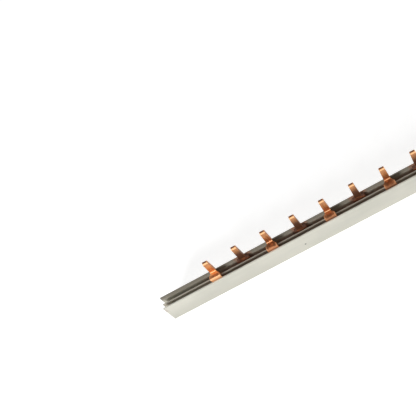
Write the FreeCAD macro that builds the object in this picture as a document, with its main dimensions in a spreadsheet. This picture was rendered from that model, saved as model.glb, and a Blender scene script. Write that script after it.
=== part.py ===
# Two-pole pin comb busbar: an open-ended insulating E-section that holds two stamped
# copper combs, one with straight pins and one whose pins step over the divider, so that
# all the pins stand in one row at one pitch.
# Millimetres. X runs along the bar, Y across it, Z up. The origin is the centre of the base.
import FreeCAD
import Part
import Sketcher
import math
import os

doc = FreeCAD.newDocument("CombBusbar")
sheet = doc.addObject("Spreadsheet::Sheet", "Sizes")

# Driving dimensions: alias, value, meaning.
SIZES = [
    ("pin_pitch", "17.8", "centre to centre of neighbouring pins"),
    ("pins_per_comb", "6", "pins on each comb"),
    ("start_overhang", "35", "cut end of the bar to the first pin"),
    ("finish_overhang", "20.2", "last pin to the other cut end"),
    ("section_width", "8", "insulating section, outside"),
    ("section_height", "15", "insulating section, outside"),
    ("wall_thickness", "0.9", "outer walls"),
    ("floor_thickness", "1", "floor under the combs"),
    ("divider_thickness", "0.8", "wall between the two channels"),
    ("divider_drop", "1.6", "divider below the top of the outer walls"),
    ("wall_rounding", "0.2", "free edges of walls and divider"),
    ("foot_rounding", "0.5", "outer edges of the base"),
    ("copper_thickness", "2", "sheet that both combs are stamped from"),
    ("copper_clearance", "0.1", "comb to the outer wall beside it"),
    ("strip_height", "8", "current-carrying strip in the channel"),
    ("strip_setback", "3", "end of the strip inside the cut end"),
    ("pin_rise", "13.4", "pin tips above the outer walls"),
    ("pin_tip_width", "3", "pin width at the tip"),
    ("pin_root_width", "3.6", "pin width where it leaves its root"),
    ("straight_root_width", "7", "wide foot between a straight pin and the strip"),
    ("stepped_root_width", "6.4", "wide foot between a stepped pin and the strip"),
    ("root_rounding", "1", "inner corners between foot and strip"),
    ("shoulder_run", "0.4", "height of the slope on a straight pin's shoulders"),
    ("shoulder_drop", "0.3", "top of a straight pin's shoulders below the walls"),
    ("tip_corner", "0.6", "rounding of the tip's corners"),
    ("bevel_length", "1", "lead-in bevel along the pin"),
    ("bevel_depth", "0.45", "lead-in bevel into each face"),
    ("step_rise", "2.7", "top of the step above the outer walls"),
    ("lower_bend", "0.3", "inside radius where the step leaves the root"),
    ("step_flare", "1.8", "slope from pin width to foot width on top of the step"),
    ("fold_rounding", "0.6", "outside radius of that bend, struck sharper than the sheet would fold"),
    ("upper_bend", "0.4", "inside radius where the pin leaves the step"),
]

# Sizes worked out from the driving ones.
DERIVED = [
    ("comb_pitch", "=2 * pin_pitch"),
    ("comb_span", "=(pins_per_comb - 1) * comb_pitch"),
    ("bar_length", "=start_overhang + finish_overhang + comb_span + pin_pitch"),
    ("base", "=0"),
    ("half_width", "=section_width / 2"),
    ("inner_half_width", "=half_width - wall_thickness"),
    ("divider_half", "=divider_thickness / 2"),
    ("divider_top", "=section_height - divider_drop"),
    ("strip_length", "=bar_length - 2 * strip_setback"),
    ("strip_top", "=floor_thickness + strip_height"),
    ("strip_middle", "=floor_thickness + strip_height / 2"),
    ("outer_face", "=inner_half_width - copper_clearance"),
    ("inner_face", "=outer_face - copper_thickness"),
    ("tip_height", "=section_height + pin_rise"),
    ("bevel_start", "=tip_height - bevel_length"),
    ("outer_bevel", "=outer_face - bevel_depth"),
    ("inner_bevel", "=inner_face + bevel_depth"),
    ("straight_root_half", "=straight_root_width / 2"),
    ("stepped_root_half", "=stepped_root_width / 2"),
    ("pin_root_half", "=pin_root_width / 2"),
    ("pin_tip_half", "=pin_tip_width / 2"),
    ("tip_flat_half", "=pin_tip_half - tip_corner"),
    ("tip_corner_height", "=tip_height - tip_corner"),
    ("shoulder_top", "=section_height - shoulder_drop"),
    ("shoulder_foot", "=shoulder_top - shoulder_run"),
    ("step_top", "=section_height + step_rise"),
    ("step_underside", "=step_top - copper_thickness"),
    ("lower_bend_side", "=inner_face - lower_bend"),
    ("lower_bend_foot", "=step_underside - lower_bend"),
    ("fold_side", "=outer_face - fold_rounding"),
    ("fold_foot", "=step_top - fold_rounding"),
    ("upper_outside", "=upper_bend + copper_thickness"),
    ("upper_bend_side", "=inner_face - upper_bend"),
    ("upper_bend_head", "=step_top + upper_bend"),
    ("flare_end", "=upper_bend_side - step_flare"),
    ("first_pin", "=start_overhang - bar_length / 2"),
    ("second_pin", "=first_pin + pin_pitch"),
    ("cut_margin", "=max(straight_root_half; stepped_root_half) + bevel_length"),
    ("cut_top", "=tip_height + bevel_length"),
    ("cut_depth", "=half_width + bevel_length"),
]


def fill_sheet():
    sheet.set("A1", "name")
    sheet.set("B1", "millimetres or count")
    sheet.set("C1", "meaning")
    rows = SIZES + [(name, formula, "worked out") for name, formula in DERIVED]
    for row, (name, value, meaning) in enumerate(rows, start=2):
        sheet.set(f"A{row}", name)
        sheet.set(f"B{row}", value)
        sheet.set(f"C{row}", meaning)
        sheet.setAlias(f"B{row}", name)
    doc.recompute()


def amount(name):
    """Number behind a size's name, which may have a minus sign in front."""
    if name.startswith("-"):
        return -float(sheet.get(name[1:]))
    return float(sheet.get(name))


def bind(feature, target, name):
    sign = "-" if name.startswith("-") else ""
    feature.setExpression(target, f"{sign}Sizes.{name.lstrip('-')}")


def new_sketch(body, plane_role, name):
    """Sketch on one of the body's own planes."""
    sketch = body.newObject("Sketcher::SketchObject", name)
    planes = [item for item in body.Origin.OriginFeatures if item.Role == plane_role]
    sketch.AttachmentSupport = [(planes[0], "")]
    sketch.MapMode = "FlatFace"
    return sketch


def pin_point(sketch, geometry, end, across, up):
    """Fixes one end of a line at two named distances from the sketch's origin."""
    for kind, name in (("DistanceX", across), ("DistanceY", up)):
        constraint = Sketcher.Constraint(kind, -1, 1, geometry, end, amount(name))
        index = sketch.addConstraint(constraint)
        bind(sketch, f"Constraints[{index}]", name)


def draw_outline(sketch, corners):
    """Closed outline. A corner is (across, up), or (across, up, radius, turn) where an arc
    of that radius leads to the next corner; turn is 1 anticlockwise and -1 clockwise."""
    count = len(corners)
    places = [FreeCAD.Vector(amount(corner[0]), amount(corner[1]), 0) for corner in corners]
    starts = []
    ends = []
    for index, corner in enumerate(corners):
        here = places[index]
        there = places[(index + 1) % count]
        if len(corner) == 2:
            geometry = sketch.addGeometry(Part.LineSegment(here, there))
            starts.append((geometry, 1))
            ends.append((geometry, 2))
        else:
            radius, turn = corner[2], corner[3]
            geometry = sketch.addGeometry(arc_between(here, there, amount(radius), turn))
            limit = sketch.addConstraint(Sketcher.Constraint("Radius", geometry, amount(radius)))
            bind(sketch, f"Constraints[{limit}]", radius)
            starts.append((geometry, 1 if turn > 0 else 2))
            ends.append((geometry, 2 if turn > 0 else 1))
    for index, corner in enumerate(corners):
        pin_point(sketch, starts[index][0], starts[index][1], corner[0], corner[1])
        sketch.addConstraint(Sketcher.Constraint("Coincident", *ends[index - 1], *starts[index]))


def arc_between(here, there, radius, turn):
    """Arc of less than half a turn from here to there."""
    chord = there - here
    middle = (here + there) / 2
    height = math.sqrt(radius**2 - (chord.Length / 2) ** 2)
    side = FreeCAD.Vector(-chord.y, chord.x, 0).normalize()
    centre = middle + side * height * turn
    first, last = (here, there) if turn > 0 else (there, here)
    circle = Part.Circle(centre, FreeCAD.Vector(0, 0, 1), radius)
    return Part.ArcOfCircle(circle, circle.parameter(first), circle.parameter(last))


def pad_both_ways(body, sketch, length, name):
    pad = body.newObject("PartDesign::Pad", name)
    pad.Profile = sketch
    pad.SideType = "Symmetric"
    bind(pad, "Length", length)
    sketch.Visibility = False
    doc.recompute()
    return pad


def cut_away(body, sketch, name, sides):
    """Pocket through everything along the sketch's normal, or to both sides of the sketch.
    It has to take metal away."""
    before = body.Shape.Volume
    pocket = body.newObject("PartDesign::Pocket", name)
    pocket.Profile = sketch
    pocket.SideType = sides
    pocket.Type = "ThroughAll"
    pocket.Reversed = sides == "One side"
    sketch.Visibility = False
    doc.recompute()
    if body.Shape.Volume >= before:
        raise RuntimeError(f"{name} cuts nothing")
    return pocket


def long_edges(shape, places):
    """Names of the straight edges along X whose (Y, Z) is in places."""
    names = []
    for index, edge in enumerate(shape.Edges, start=1):
        centre = edge.CenterOfMass
        box = edge.BoundBox
        if box.YLength + box.ZLength > 0.001:
            continue
        if any(math.hypot(centre.y - y, centre.z - z) < 0.001 for y, z in places):
            names.append(f"Edge{index}")
    return names


def round_edges(body, base, places, radius, name):
    spots = [(amount(across), amount(up)) for across, up in places]
    fillet = body.newObject("PartDesign::Fillet", name)
    fillet.Base = (base, long_edges(base.Shape, spots))
    bind(fillet, "Radius", radius)
    doc.recompute()
    return fillet


def insulating_profile():
    """Extruded section with two channels, open at the top and at both ends."""
    body = doc.addObject("PartDesign::Body", "InsulatingProfile")
    body.Label = "insulating_profile"
    section = new_sketch(body, "YZ_Plane", "ProfileSection")
    draw_outline(section, [
        ("-half_width", "base"),
        ("half_width", "base"),
        ("half_width", "section_height"),
        ("inner_half_width", "section_height"),
        ("inner_half_width", "floor_thickness"),
        ("divider_half", "floor_thickness"),
        ("divider_half", "divider_top"),
        ("-divider_half", "divider_top"),
        ("-divider_half", "floor_thickness"),
        ("-inner_half_width", "floor_thickness"),
        ("-inner_half_width", "section_height"),
        ("-half_width", "section_height"),
    ])
    extrusion = pad_both_ways(body, section, "bar_length", "ProfileExtrusion")
    free_edges = [
        ("half_width", "section_height"),
        ("inner_half_width", "section_height"),
        ("divider_half", "divider_top"),
        ("-divider_half", "divider_top"),
        ("-inner_half_width", "section_height"),
        ("-half_width", "section_height"),
    ]
    feet = [("half_width", "base"), ("-half_width", "base")]
    rounded = round_edges(body, extrusion, free_edges, "wall_rounding", "WallRounding")
    round_edges(body, rounded, feet, "foot_rounding", "FootRounding")
    return body


def strip(body, near_side, far_side):
    """Current-carrying strip that stands on the channel floor."""
    section = new_sketch(body, "YZ_Plane", "StripSection")
    draw_outline(section, [
        (near_side, "floor_thickness"),
        (far_side, "floor_thickness"),
        (far_side, "strip_top"),
        (near_side, "strip_top"),
    ])
    pad_both_ways(body, section, "strip_length", "Strip")


def repeat_pins(body, features, first_place, root_half):
    """Repeats one pin along the strip, then rounds the inner corners at each foot."""
    pattern = body.newObject("PartDesign::LinearPattern", "PinRow")
    pattern.Originals = features
    axes = [item for item in body.Origin.OriginFeatures if item.Role == "X_Axis"]
    pattern.Direction = (axes[0], [""])
    bind(pattern, "Occurrences", "pins_per_comb")
    bind(pattern, "Length", "comb_span")
    body.Tip = pattern
    doc.recompute()
    start = amount(first_place)
    sides = (-amount(root_half), amount(root_half))
    count = int(amount("pins_per_comb"))
    corners = [start + index * amount("comb_pitch") + side for index in range(count) for side in sides]
    rounding = body.newObject("PartDesign::Fillet", "RootRounding")
    rounding.Base = (pattern, foot_corners(pattern.Shape, corners, amount("strip_top")))
    bind(rounding, "Radius", "root_rounding")
    doc.recompute()


def foot_corners(shape, places, height):
    """Names of the straight edges across the bar that lie at height and at an X in places."""
    names = []
    for index, edge in enumerate(shape.Edges, start=1):
        centre = edge.CenterOfMass
        box = edge.BoundBox
        if box.XLength + box.ZLength > 0.001 or abs(centre.z - height) > 0.001:
            continue
        if any(abs(centre.x - place) < 0.001 for place in places):
            names.append(f"Edge{index}")
    return names


def trimmed_to_pin(body, pin_place, shoulders):
    """Cuts the blank to the outline of a tapered pin with rounded tip corners. Shoulders
    are the corners of its right side below the taper, from the bottom up."""
    trim = new_sketch(body, "XZ_Plane", "PinOutline")
    bind(trim, "AttachmentOffset.Base.x", pin_place)
    right_side = [("cut_margin", shoulders[0][1])] + shoulders
    left_side = [("-" + across, up) for across, up in reversed(right_side)]
    draw_outline(trim, right_side + [
        ("pin_tip_half", "tip_corner_height", "tip_corner", 1),
        ("tip_flat_half", "tip_height"),
        ("-tip_flat_half", "tip_height", "tip_corner", 1),
        ("-pin_tip_half", "tip_corner_height"),
    ] + left_side + [
        ("-cut_margin", "cut_top"),
        ("cut_margin", "cut_top"),
    ])
    return cut_away(body, trim, "PinTrim", "Symmetric")


def straight_comb():
    """Comb in the rear channel: its pins rise straight from the strip."""
    body = doc.addObject("PartDesign::Body", "StraightComb")
    body.Label = "straight_comb"
    strip(body, "inner_face", "outer_face")
    side = new_sketch(body, "YZ_Plane", "PinSide")
    bind(side, "AttachmentOffset.Base.z", "second_pin")
    draw_outline(side, [
        ("inner_face", "strip_middle"),
        ("outer_face", "strip_middle"),
        ("outer_face", "bevel_start"),
        ("outer_bevel", "tip_height"),
        ("inner_bevel", "tip_height"),
        ("inner_face", "bevel_start"),
    ])
    blank = pad_both_ways(body, side, "straight_root_width", "PinBlank")
    trim = trimmed_to_pin(body, "second_pin", [
        ("straight_root_half", "shoulder_foot"),
        ("pin_root_half", "shoulder_top"),
    ])
    repeat_pins(body, [blank, trim], "second_pin", "straight_root_half")
    return body


def stepped_comb():
    """Comb in the front channel: each pin steps back over the divider, so that it stands
    in one row with the straight pins."""
    body = doc.addObject("PartDesign::Body", "SteppedComb")
    body.Label = "stepped_comb"
    strip(body, "-outer_face", "-inner_face")
    side = new_sketch(body, "YZ_Plane", "PinSide")
    bind(side, "AttachmentOffset.Base.z", "first_pin")
    draw_outline(side, [
        ("-outer_face", "strip_middle"),
        ("-inner_face", "strip_middle"),
        ("-inner_face", "lower_bend_foot", "lower_bend", -1),
        ("-lower_bend_side", "step_underside"),
        ("upper_bend_side", "step_underside", "upper_outside", 1),
        ("outer_face", "upper_bend_head"),
        ("outer_face", "bevel_start"),
        ("outer_bevel", "tip_height"),
        ("inner_bevel", "tip_height"),
        ("inner_face", "bevel_start"),
        ("inner_face", "upper_bend_head", "upper_bend", -1),
        ("upper_bend_side", "step_top"),
        ("-fold_side", "step_top", "fold_rounding", 1),
        ("-outer_face", "fold_foot"),
    ])
    blank = pad_both_ways(body, side, "stepped_root_width", "PinBlank")
    step_trims = [step_side(body, ""), step_side(body, "-")]
    trim = trimmed_to_pin(body, "first_pin", [("pin_root_half", "step_top")])
    repeat_pins(body, [blank] + step_trims + [trim], "first_pin", "stepped_root_half")
    return body


def step_side(body, sign):
    """Cuts one side of the step from foot width to pin width, seen from above. The cut
    starts level with the step's underside, so the foot below keeps its width."""
    corners = [
        ("stepped_root_half", "flare_end"),
        ("cut_margin", "flare_end"),
        ("cut_margin", "cut_depth"),
        ("pin_root_half", "cut_depth"),
        ("pin_root_half", "upper_bend_side"),
    ]
    name = "StepTrimRight" if sign == "" else "StepTrimLeft"
    trim = new_sketch(body, "XY_Plane", name + "Outline")
    bind(trim, "AttachmentOffset.Base.x", "first_pin")
    bind(trim, "AttachmentOffset.Base.z", "step_underside")
    draw_outline(trim, [(sign + across, up) for across, up in corners])
    return cut_away(body, trim, name, "One side")


def check_and_export(bodies):
    doc.recompute()
    for item in doc.Objects:
        if "Invalid" in item.State or "Error" in item.State:
            raise RuntimeError(f"{item.Label} did not build")
    for body in bodies:
        if body.Shape.isNull() or not body.Shape.isValid() or len(body.Shape.Solids) != 1:
            raise RuntimeError(f"{body.Label} is not one sound solid")
    os.makedirs("parts", exist_ok=True)
    for body in bodies:
        body.Shape.exportStep(f"parts/{body.Label}.step")
        size = body.Shape.BoundBox
        print(body.Label, round(body.Shape.Volume, 2), "mm3", size)


fill_sheet()
check_and_export([insulating_profile(), straight_comb(), stepped_comb()])
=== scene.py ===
# Looks of the two-pole pin comb busbar: pale extruded insulation, bare stamped copper,
# a plain pale floor, soft studio light and the photograph's viewing angle.
import bpy
import math
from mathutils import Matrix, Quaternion, Vector


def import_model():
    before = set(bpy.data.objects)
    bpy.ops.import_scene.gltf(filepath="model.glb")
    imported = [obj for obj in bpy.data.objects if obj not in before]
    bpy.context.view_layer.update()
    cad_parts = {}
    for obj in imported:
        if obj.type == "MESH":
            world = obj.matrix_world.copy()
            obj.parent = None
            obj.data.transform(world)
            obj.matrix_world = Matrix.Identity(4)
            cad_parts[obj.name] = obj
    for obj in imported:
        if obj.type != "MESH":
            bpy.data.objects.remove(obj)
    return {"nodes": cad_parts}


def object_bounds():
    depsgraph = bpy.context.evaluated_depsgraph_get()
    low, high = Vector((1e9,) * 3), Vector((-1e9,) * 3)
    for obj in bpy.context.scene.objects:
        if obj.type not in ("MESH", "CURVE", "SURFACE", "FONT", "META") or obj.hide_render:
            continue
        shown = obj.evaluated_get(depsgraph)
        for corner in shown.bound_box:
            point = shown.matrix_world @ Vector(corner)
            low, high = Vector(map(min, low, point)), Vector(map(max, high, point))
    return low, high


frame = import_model()
cad_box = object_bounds()

# Places and sizes on the bar in millimetres. X runs along it, Y across it and Z up.
MM = 0.001
LEFT_END = round(cad_box[0][0] / MM, 3)
FRONT_FACE = round(cad_box[0][1] / MM, 3)
PIN_TIPS = round(cad_box[1][2] / MM, 3)
FIRST_PIN = LEFT_END + 35.0
PIN_PITCH = 17.8
WALL_TOP = PIN_TIPS - 13.4
WALL_INSIDE = -FRONT_FACE - 0.9
DIVIDER_TOP = WALL_TOP - 1.6
STEP_TOP = WALL_TOP + 2.7
SPECK = (FIRST_PIN + 51.6, FRONT_FACE, 6.4)

BLACK = (0.0, 0.0, 0.0)
WHITE = (1.0, 1.0, 1.0)


# Shader maths as plain expressions.
class Wire:
    """A shader socket that can stand in sums. Numbers, tuples and wires mix freely."""

    def __init__(self, tree, socket=None):
        self.tree = tree
        self.socket = socket

    def node(self, kind, settings, inputs, output=0):
        """Adds any node: its settings first, then the values or links of its sockets."""
        made = self.tree.nodes.new("ShaderNode" + kind)
        for name, value in settings.items():
            setattr(made, name, value)
        for name, value in inputs.items():
            plug(self.tree, made.inputs[name], value)
        return Wire(self.tree, made.outputs[output])

    def math(self, operation, *values):
        return self.node("Math", {"operation": operation}, dict(enumerate(values)))

    def __add__(self, other):
        return self.math("ADD", self, other)

    __radd__ = __add__

    def __sub__(self, other):
        return self.math("SUBTRACT", self, other)

    def __rsub__(self, other):
        return self.math("SUBTRACT", other, self)

    def __mul__(self, other):
        return self.math("MULTIPLY", self, other)

    __rmul__ = __mul__

    def __abs__(self):
        return self.math("ABSOLUTE", self)

    def step(self, low, high):
        """Smooth rise from 0 at low to 1 at high; falls where low is above high."""
        start, end = (low, high) if low < high else (high, low)
        rise = self.node(
            "MapRange",
            {"interpolation_type": "SMOOTHSTEP"},
            {"Value": self, "From Min": start, "From Max": end},
        )
        return rise if low < high else 1 - rise

    def band(self, low, high, soft):
        """1 between low and high, fading out over soft on both sides."""
        return self.step(low - soft, low) * self.step(high + soft, high)

    def parts(self):
        return [self.node("SeparateXYZ", {}, {0: self}, index) for index in range(3)]

    def scaled(self, x, y, z):
        return self.node("VectorMath", {"operation": "MULTIPLY"}, {0: self, 1: (x, y, z)})

    def distance(self, point):
        return self.node("VectorMath", {"operation": "DISTANCE"}, {0: self, 1: point}, "Value")

    def noise(self, scale, detail=2.0, roughness=0.5):
        inputs = {"Vector": self, "Scale": scale, "Detail": detail, "Roughness": roughness}
        return self.node("TexNoise", {"noise_dimensions": "3D"}, inputs)

    def blend(self, first, second):
        """Colour that goes from first to second as this wire goes from 0 to 1."""
        return self.node("Mix", {"data_type": "RGBA"}, {0: self, 6: first, 7: second}, 2)

    def bumps(self, strength, depth):
        """Normal of a surface with this wire as its height. Depth in millimetres."""
        inputs = {"Strength": strength, "Distance": depth * MM, "Height": self}
        return self.node("Bump", {}, inputs)


def plug(tree, socket, value):
    """Links a wire to a socket, or sets the socket to a number, tuple or colour."""
    if isinstance(value, Wire):
        tree.links.new(value.socket, socket)
    elif isinstance(value, tuple) and socket.type == "RGBA":
        socket.default_value = (*value, 1.0)
    else:
        socket.default_value = value


def larger(first, second):
    return first.math("MAXIMUM", first, second)


def grey(level):
    return (level, level, level)


def shown(red, green, blue):
    """Linear colour of a picture colour given from 0 to 255."""
    return tuple(linear(value / 255) for value in (red, green, blue))


def linear(value):
    return value / 12.92 if value <= 0.04045 else ((value + 0.055) / 1.055) ** 2.4


def new_material(name):
    """Material and the place on its surface in millimetres."""
    material = bpy.data.materials.new(name)
    material.use_nodes = True
    place = Wire(material.node_tree).node("TexCoord", {}, {}, "Object")
    return material, place.scaled(1 / MM, 1 / MM, 1 / MM)


def facing(place):
    """Which way the surface faces, in X, Y and Z."""
    return place.node("NewGeometry", {}, {}, "Normal").parts()


def set_shader(material, values):
    shader = material.node_tree.nodes["Principled BSDF"]
    for name, value in values.items():
        plug(material.node_tree, shader.inputs[name], value)


def past_first_pin(x):
    """Millimetres from the first pin towards the right end."""
    return x - FIRST_PIN


def from_stepped_pin(x):
    """Millimetres along the bar from the nearest stepped pin. Every second pin is one."""
    return x.math("PINGPONG", past_first_pin(x), PIN_PITCH)


# Insulation: satin PVC, extruded lengthwise and sawn off.
def insulation():
    material, place = new_material("warm_grey_pvc")
    x, y, z = place.parts()
    die_lines = place.scaled(0.02, 1.0, 1.0).noise(2.2, 3.0, 0.6)
    grain = place.noise(5.0)

    # Painted shade: the channels and the top of the rear wall take the darker channel colour,
    # and are a little more matte.
    rear_rim_shade = rear_wall(y) * y.step(4.05, 3.85) * z.step(WALL_TOP - 0.2, WALL_TOP - 0.1)
    channels = abs(y).step(WALL_INSIDE + 0.2, WALL_INSIDE - 0.05) * z.step(0.9, 1.1)
    painted_shade_and_matte = larger(channels, rear_rim_shade)
    colour = painted_shade_and_matte.blend(shell_colour(place, die_lines), channel_colour(place, die_lines))

    sawn = abs(facing(place)[0]).step(0.7, 0.9)
    saw_marks = place.scaled(1.0, 0.35, 3.5).noise(1.6, 3.0, 0.6)
    sawn_colour = saw_marks.step(0.35, 0.65).blend(shown(196, 193, 181), shown(222, 220, 209))
    colour = sawn.blend(colour, sawn_colour)

    speck = place.distance(SPECK).step(0.62, 0.32)
    colour = speck.blend(colour, shown(70, 66, 60))
    front_wall = y.step(FRONT_FACE + 0.1, FRONT_FACE + 0.05)
    scuff = x.step(LEFT_END + 1.9, LEFT_END + 0.5) * z.band(11.0, 13.4, 0.8) * front_wall
    colour = (scuff * 0.5).blend(colour, shown(190, 172, 162))

    relief = die_lines * 0.6 + grain * 0.4 + sawn * saw_marks * 1.5
    set_shader(material, {
        "Base Color": colour,
        "Roughness": 0.42 + grain * 0.1 + painted_shade_and_matte * 0.15 + sawn * 0.15,
        "Specular IOR Level": 0.35,
        "Normal": relief.bumps(0.08, 0.05),
    })
    return material


def rear_wall(y):
    """1 on the rear wall, from its inner face outwards."""
    return y.step(WALL_INSIDE - 0.2, WALL_INSIDE - 0.05)


def shell_colour(place, die_lines):
    """Outside of the section: clouded, with painted shade low down that is strongest towards the
    left end.
    """
    x, _, z = place.parts()
    clouds = place.scaled(0.5, 1.0, 1.0).noise(0.09)
    mottling = (clouds * 0.7 + die_lines * 0.3).step(0.3, 0.7)
    colour = mottling.blend(shown(212, 211, 199), shown(223, 221, 209))
    # Painted shade: the shell darkens towards its base, most at the left end.
    painted_low_shade = z.step(12.0, 0.0) * (0.08 + 0.37 * past_first_pin(x).step(52.5, 20.5))
    return painted_low_shade.blend(colour, shown(188, 186, 175))


def channel_colour(place, die_lines):
    """Inside of the channels, painted shade and light: darker than the shell, darkest high on
    the rear wall, lighter deep down at the left end, and a painted brown reflection beside the
    straight pins.
    """
    x, y, z = place.parts()
    past = past_first_pin(x)
    # Painted shade: the whole inside is darker than the shell.
    colour = die_lines.step(0.35, 0.65).blend(shown(170, 163, 148), shown(184, 177, 162))
    # Painted light deep down near the left end; further along the deep parts are browner.
    deep = past.step(-24.5, 10.5).blend(shown(202, 199, 183), shown(168, 148, 128))
    colour = z.step(13.0, 10.5).blend(colour, deep)
    # Painted shade high on the inside of the rear wall.
    upper_rear_shade = z.step(11.5, 14.6) * rear_wall(y)
    colour = upper_rear_shade.blend(colour, shown(122, 116, 103))
    # Painted brown reflection and shadow of the straight pins' feet on the rear wall.
    foot_reflection_and_shadow = from_stepped_pin(x).step(11.5, 14.0) * past.step(-1.5, 6.5) * rear_wall(y)
    colour = (foot_reflection_and_shadow * 0.75).blend(colour, shown(146, 96, 68))

    across = abs(y)
    # The divider's top is left lighter than the painted shade around it.
    divider_top = across.step(0.55, 0.4) * z.step(DIVIDER_TOP - 0.3, DIVIDER_TOP - 0.1)
    colour = divider_top.blend(colour, shown(206, 202, 188))
    # Painted shade on the divider past the first pin.
    divider_shade_by_pins = across.step(0.55, 0.45) * past.step(-7.5, 4.5)
    return (divider_shade_by_pins * 0.35).blend(colour, shown(132, 122, 108))


# Copper: bare rolled sheet, stamped into a comb. Marks adds what only that comb shows.
def copper(name, marks):
    material, place = new_material(name)
    x, _, z = place.parts()
    face_x, face_y, face_z = facing(place)
    rolling = place.scaled(1.0, 1.0, 0.1).noise(2.6, 3.0, 0.6)
    streaks = place.scaled(1.0, 1.0, 0.12).noise(1.1, 2.0, 0.6)
    patches = place.noise(0.3, 3.0, 0.55).step(0.3, 0.7)
    grain = place.noise(9.0)

    # Painted light: the copper is lit most at the first pin and painted less lit further along,
    # with patches of tone.
    lit_copper = patches.blend(shown(242, 176, 116), shown(228, 154, 96))
    shaded_copper = patches.blend(shown(206, 146, 98), shown(184, 124, 80))
    colour = (painted_light_falloff(x) * 0.8).blend(lit_copper, shaded_copper)
    colour = rolling.step(0.45, 0.75).blend(colour, shown(190, 126, 78))
    colour = (streaks.step(0.5, 0.7) * 0.5).blend(colour, shown(140, 84, 50))
    below_tip = z.step(PIN_TIPS - 3.9, PIN_TIPS - 1.9)
    colour = (below_tip * 0.7).blend(colour, shown(198, 140, 98))
    # Painted highlight on the sloped faces just under the tips.
    sloped = abs(face_y).step(0.7, 0.85) * face_z.step(0.2, 0.35)
    bevel_highlight = z.step(PIN_TIPS - 1.1, PIN_TIPS - 0.9) * sloped
    colour = bevel_highlight.blend(colour, shown(240, 190, 138))
    # Marks return the colour and a mask of painted darkening, which also lowers metallic and
    # raises roughness.
    colour, painted_darkening = marks(place, face_z, colour)

    # Painted shade on the copper below the wall tops, in blotches, and greyer left of the first
    # pin.
    sunk = z.step(WALL_TOP - 0.4, WALL_TOP - 2.4)
    below_wall_shade = patches.blend(shown(152, 90, 58), shown(114, 66, 44))
    below_wall_shade = past_first_pin(x).step(-1.5, -14.5).blend(below_wall_shade, shown(96, 86, 72))
    colour = (sunk * 0.8).blend(colour, below_wall_shade)
    sheared = abs(face_x).step(0.75, 0.9)
    shear_marks = place.scaled(1.0, 5.0, 0.5).noise(1.8, 3.0, 0.6)
    colour = (sheared * shear_marks.step(0.4, 0.6)).blend(colour, shown(150, 98, 64))
    # Painted dark reflection on the flat end faces of the tips.
    tip_end_shade = face_z.step(0.75, 0.95) * z.step(PIN_TIPS - 0.5, PIN_TIPS - 0.2)
    colour = tip_end_shade.blend(colour, shown(112, 72, 52))

    relief = rolling * 0.7 + grain * 0.3 + sheared * shear_marks
    set_shader(material, {
        "Base Color": colour,
        "Metallic": 1.0 - painted_darkening * 0.5,
        "Roughness": 0.3 + rolling * 0.12 + painted_darkening * 0.1 + sheared * shear_marks * 0.2,
        "Normal": relief.bumps(0.1, 0.05),
    })
    return material


def painted_light_falloff(x):
    """Painted light: near 0 at the first pin, which is painted as the most lit, and 1 from the
    third on.
    """
    return past_first_pin(x).step(-4.5, 30.5)


def blotched(place, light, dark):
    """Colour in blotches of light and dark, about 2 mm wide."""
    return place.noise(0.5, 2.0, 0.6).step(0.42, 0.58).blend(light, dark)


def straight_marks(place, face_z, colour):
    """Straight pins: painted dark reflection from below the tip downwards, blotched at the foot,
    and painted shade on the shoulder tops.
    """
    z = place.parts()[2]
    # Painted dark reflection: the face is painted darker and browner downwards from the tip.
    painted_darkening = z.step(PIN_TIPS - 0.9, PIN_TIPS - 7.9)
    colour = painted_darkening.blend(colour, shown(94, 55, 33))
    # Blotched tone at the foot, kept dark with the painted darkening.
    foot = blotched(place, shown(160, 98, 64), shown(100, 58, 38))
    colour = z.step(WALL_TOP + 1.3, WALL_TOP + 0.4).blend(colour, foot)
    # Painted shade on the upward faces of the shoulder tops.
    shoulder_shade = z.step(WALL_TOP + 0.3, WALL_TOP - 0.1) * face_z.step(0.5, 0.8)
    colour = shoulder_shade.blend(colour, shown(84, 52, 36))
    return colour, painted_darkening


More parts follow.
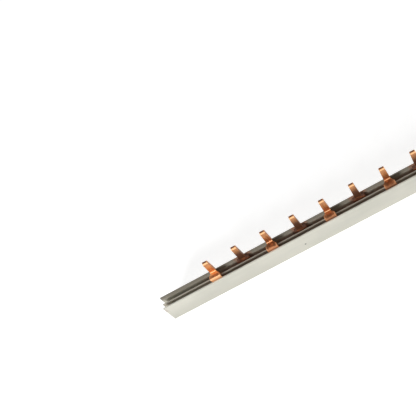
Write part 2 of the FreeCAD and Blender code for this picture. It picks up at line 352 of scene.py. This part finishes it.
def stepped_marks(place, face_z, colour):
    """Stepped pins: painted highlights at the crease and the fold, painted shade in blotches on
    the step.
    """
    x, y, z = place.parts()
    # Painted light fading from the first pin along the bar, and fading further towards the right
    # end.
    falloff_from_first_pin = painted_light_falloff(x)
    darker = past_first_pin(x).step(28.5, 110.5)
    lower_pin = z.step(STEP_TOP + 3.8, STEP_TOP + 1.8)
    colour = (lower_pin * 0.6).blend(colour, shown(200, 144, 98))
    # Painted highlight on the bend above the step.
    above_step = z.step(STEP_TOP, STEP_TOP + 0.15) * z.step(STEP_TOP + 1.3, STEP_TOP + 0.8)
    crease = above_step * y.step(0.6, 0.75)
    crease_highlight_colour = falloff_from_first_pin.blend(shown(236, 190, 142), shown(240, 188, 142))
    colour = crease.blend(colour, crease_highlight_colour)
    # Painted highlight on the fold and the face below it, fading along the bar.
    fold_highlight_colour = falloff_from_first_pin.blend(shown(250, 194, 146), shown(200, 140, 102))
    fold_highlight_colour = darker.blend(fold_highlight_colour, shown(144, 96, 66))
    colour = y.step(-2.3, -2.6).blend(colour, fold_highlight_colour)

    # Painted shade on the step's top, in blotches, darkest by the fold and further along the
    # bar; the first pin's step is left lighter except by the fold.
    at_step_top = z.step(STEP_TOP - 0.5, STEP_TOP - 0.2) * z.step(STEP_TOP + 0.4, STEP_TOP + 0.2)
    step_top = y.step(0.75, 0.6) * at_step_top
    by_fold = abs(y + 1.8).step(1.4, 0.6)
    brown = blotched(place, shown(170, 106, 68), shown(74, 42, 24))
    brown = (darker * 0.4).blend(brown, shown(100, 60, 36))
    brown = (by_fold * 0.5).blend(brown, shown(88, 54, 32))
    step_top_shade = step_top * larger(falloff_from_first_pin * 0.9, by_fold * 0.85)
    colour = step_top_shade.blend(colour, brown)

    # Lighter along the sides of the step.
    foot_sides = from_stepped_pin(x).step(2.4, 3.0) * z.step(WALL_TOP - 0.1, WALL_TOP + 0.3)
    lighter_step_sides = foot_sides * y.step(-0.6, -1.6)
    colour = (lighter_step_sides * 0.4).blend(colour, shown(232, 170, 124))
    return colour, step_top_shade * 0.3


def dress(node, material):
    for slot in frame["nodes"][node].material_slots:
        slot.material = material


dress("insulating_profile", insulation())
dress("straight_comb", copper("straight_copper", straight_marks))
dress("stepped_comb", copper("stepped_copper", stepped_marks))


# Floor and world, which the camera sees as a pale background.
def floor():
    half = 3.0
    mesh = bpy.data.meshes.new("floor")
    corners = [(-half, -half, 0), (half, -half, 0), (half, half, 0), (-half, half, 0)]
    mesh.from_pydata(corners, [], [(0, 1, 2, 3)])
    slab = bpy.data.objects.new("floor", mesh)
    bpy.context.scene.collection.objects.link(slab)
    material, place = new_material("pale_floor")
    glow = place.distance((0.0, 0.0, 0.0)).step(400.0, 1400.0).blend(grey(0.54), WHITE)
    set_shader(material, {
        "Base Color": place.noise(0.004).blend(grey(0.8), grey(0.84)),
        "Roughness": 0.9,
        "Specular IOR Level": 0.0,
        "Emission Color": seen_directly(place).blend(BLACK, glow),
        "Emission Strength": 1.0,
    })
    mesh.materials.append(material)


def seen_directly(wire):
    """1 on rays from the camera and on those that gloss or glass sends on."""
    camera = wire.node("LightPath", {}, {}, "Is Camera Ray")
    glossy = wire.node("LightPath", {}, {}, "Is Glossy Ray")
    through = wire.node("LightPath", {}, {}, "Is Transmission Ray")
    return wire.math("MINIMUM", camera + glossy + through, 1.0)


def world():
    sky = bpy.data.worlds.new("studio")
    bpy.context.scene.world = sky
    sky.use_nodes = True
    background = sky.node_tree.nodes["Background"]
    seen = seen_directly(Wire(sky.node_tree))
    plug(sky.node_tree, background.inputs["Color"], seen.blend(grey(0.17), WHITE))
    plug(sky.node_tree, background.inputs["Strength"], 1.0)


# Lamps, in metres and watts. They face the left half of the bar.
LIT_PLACE = Vector((-0.03, 0, 0.02))


def soft_box(name, place, size, power):
    lamp = bpy.data.lights.new(name, "AREA")
    lamp.shape = "RECTANGLE"
    lamp.size, lamp.size_y = size
    lamp.energy = power
    box = bpy.data.objects.new(name, lamp)
    box.location = place
    box.rotation_mode = "QUATERNION"
    box.rotation_quaternion = (LIT_PLACE - Vector(place)).to_track_quat("-Z", "Y")
    bpy.context.scene.collection.objects.link(box)


# Camera: lens and place in millimetres, angles in degrees.
LENS = 77.834
EYE = (19.273, -261.705, 425.097)
AZIMUTH = 18.234
ELEVATION = 51.961
ROLL = -43.242


def camera():
    lens = bpy.data.cameras.new("view")
    lens.sensor_width = 36.0
    lens.lens = LENS
    azimuth, elevation, roll = (math.radians(angle) for angle in (AZIMUTH, ELEVATION, ROLL))
    back = Vector((
        math.sin(azimuth) * math.cos(elevation),
        -math.cos(azimuth) * math.cos(elevation),
        math.sin(elevation),
    ))
    eye = bpy.data.objects.new("view", lens)
    eye.location = Vector(EYE) * MM
    eye.rotation_mode = "QUATERNION"
    eye.rotation_quaternion = (-back).to_track_quat("-Z", "Y") @ Quaternion((0, 0, 1), roll)
    bpy.context.scene.collection.objects.link(eye)
    bpy.context.scene.camera = eye


floor()
world()
soft_box("front_box", (-0.95, -1.2, 0.55), (0.5, 0.45), 18.0)
soft_box("top_box", (-0.4, -0.2, 1.0), (0.8, 0.8), 3.0)
soft_box("rear_box", (0.7, 1.4, 0.4), (0.8, 0.5), 9.0)
camera()

bpy.context.scene.view_settings.view_transform = "Standard"
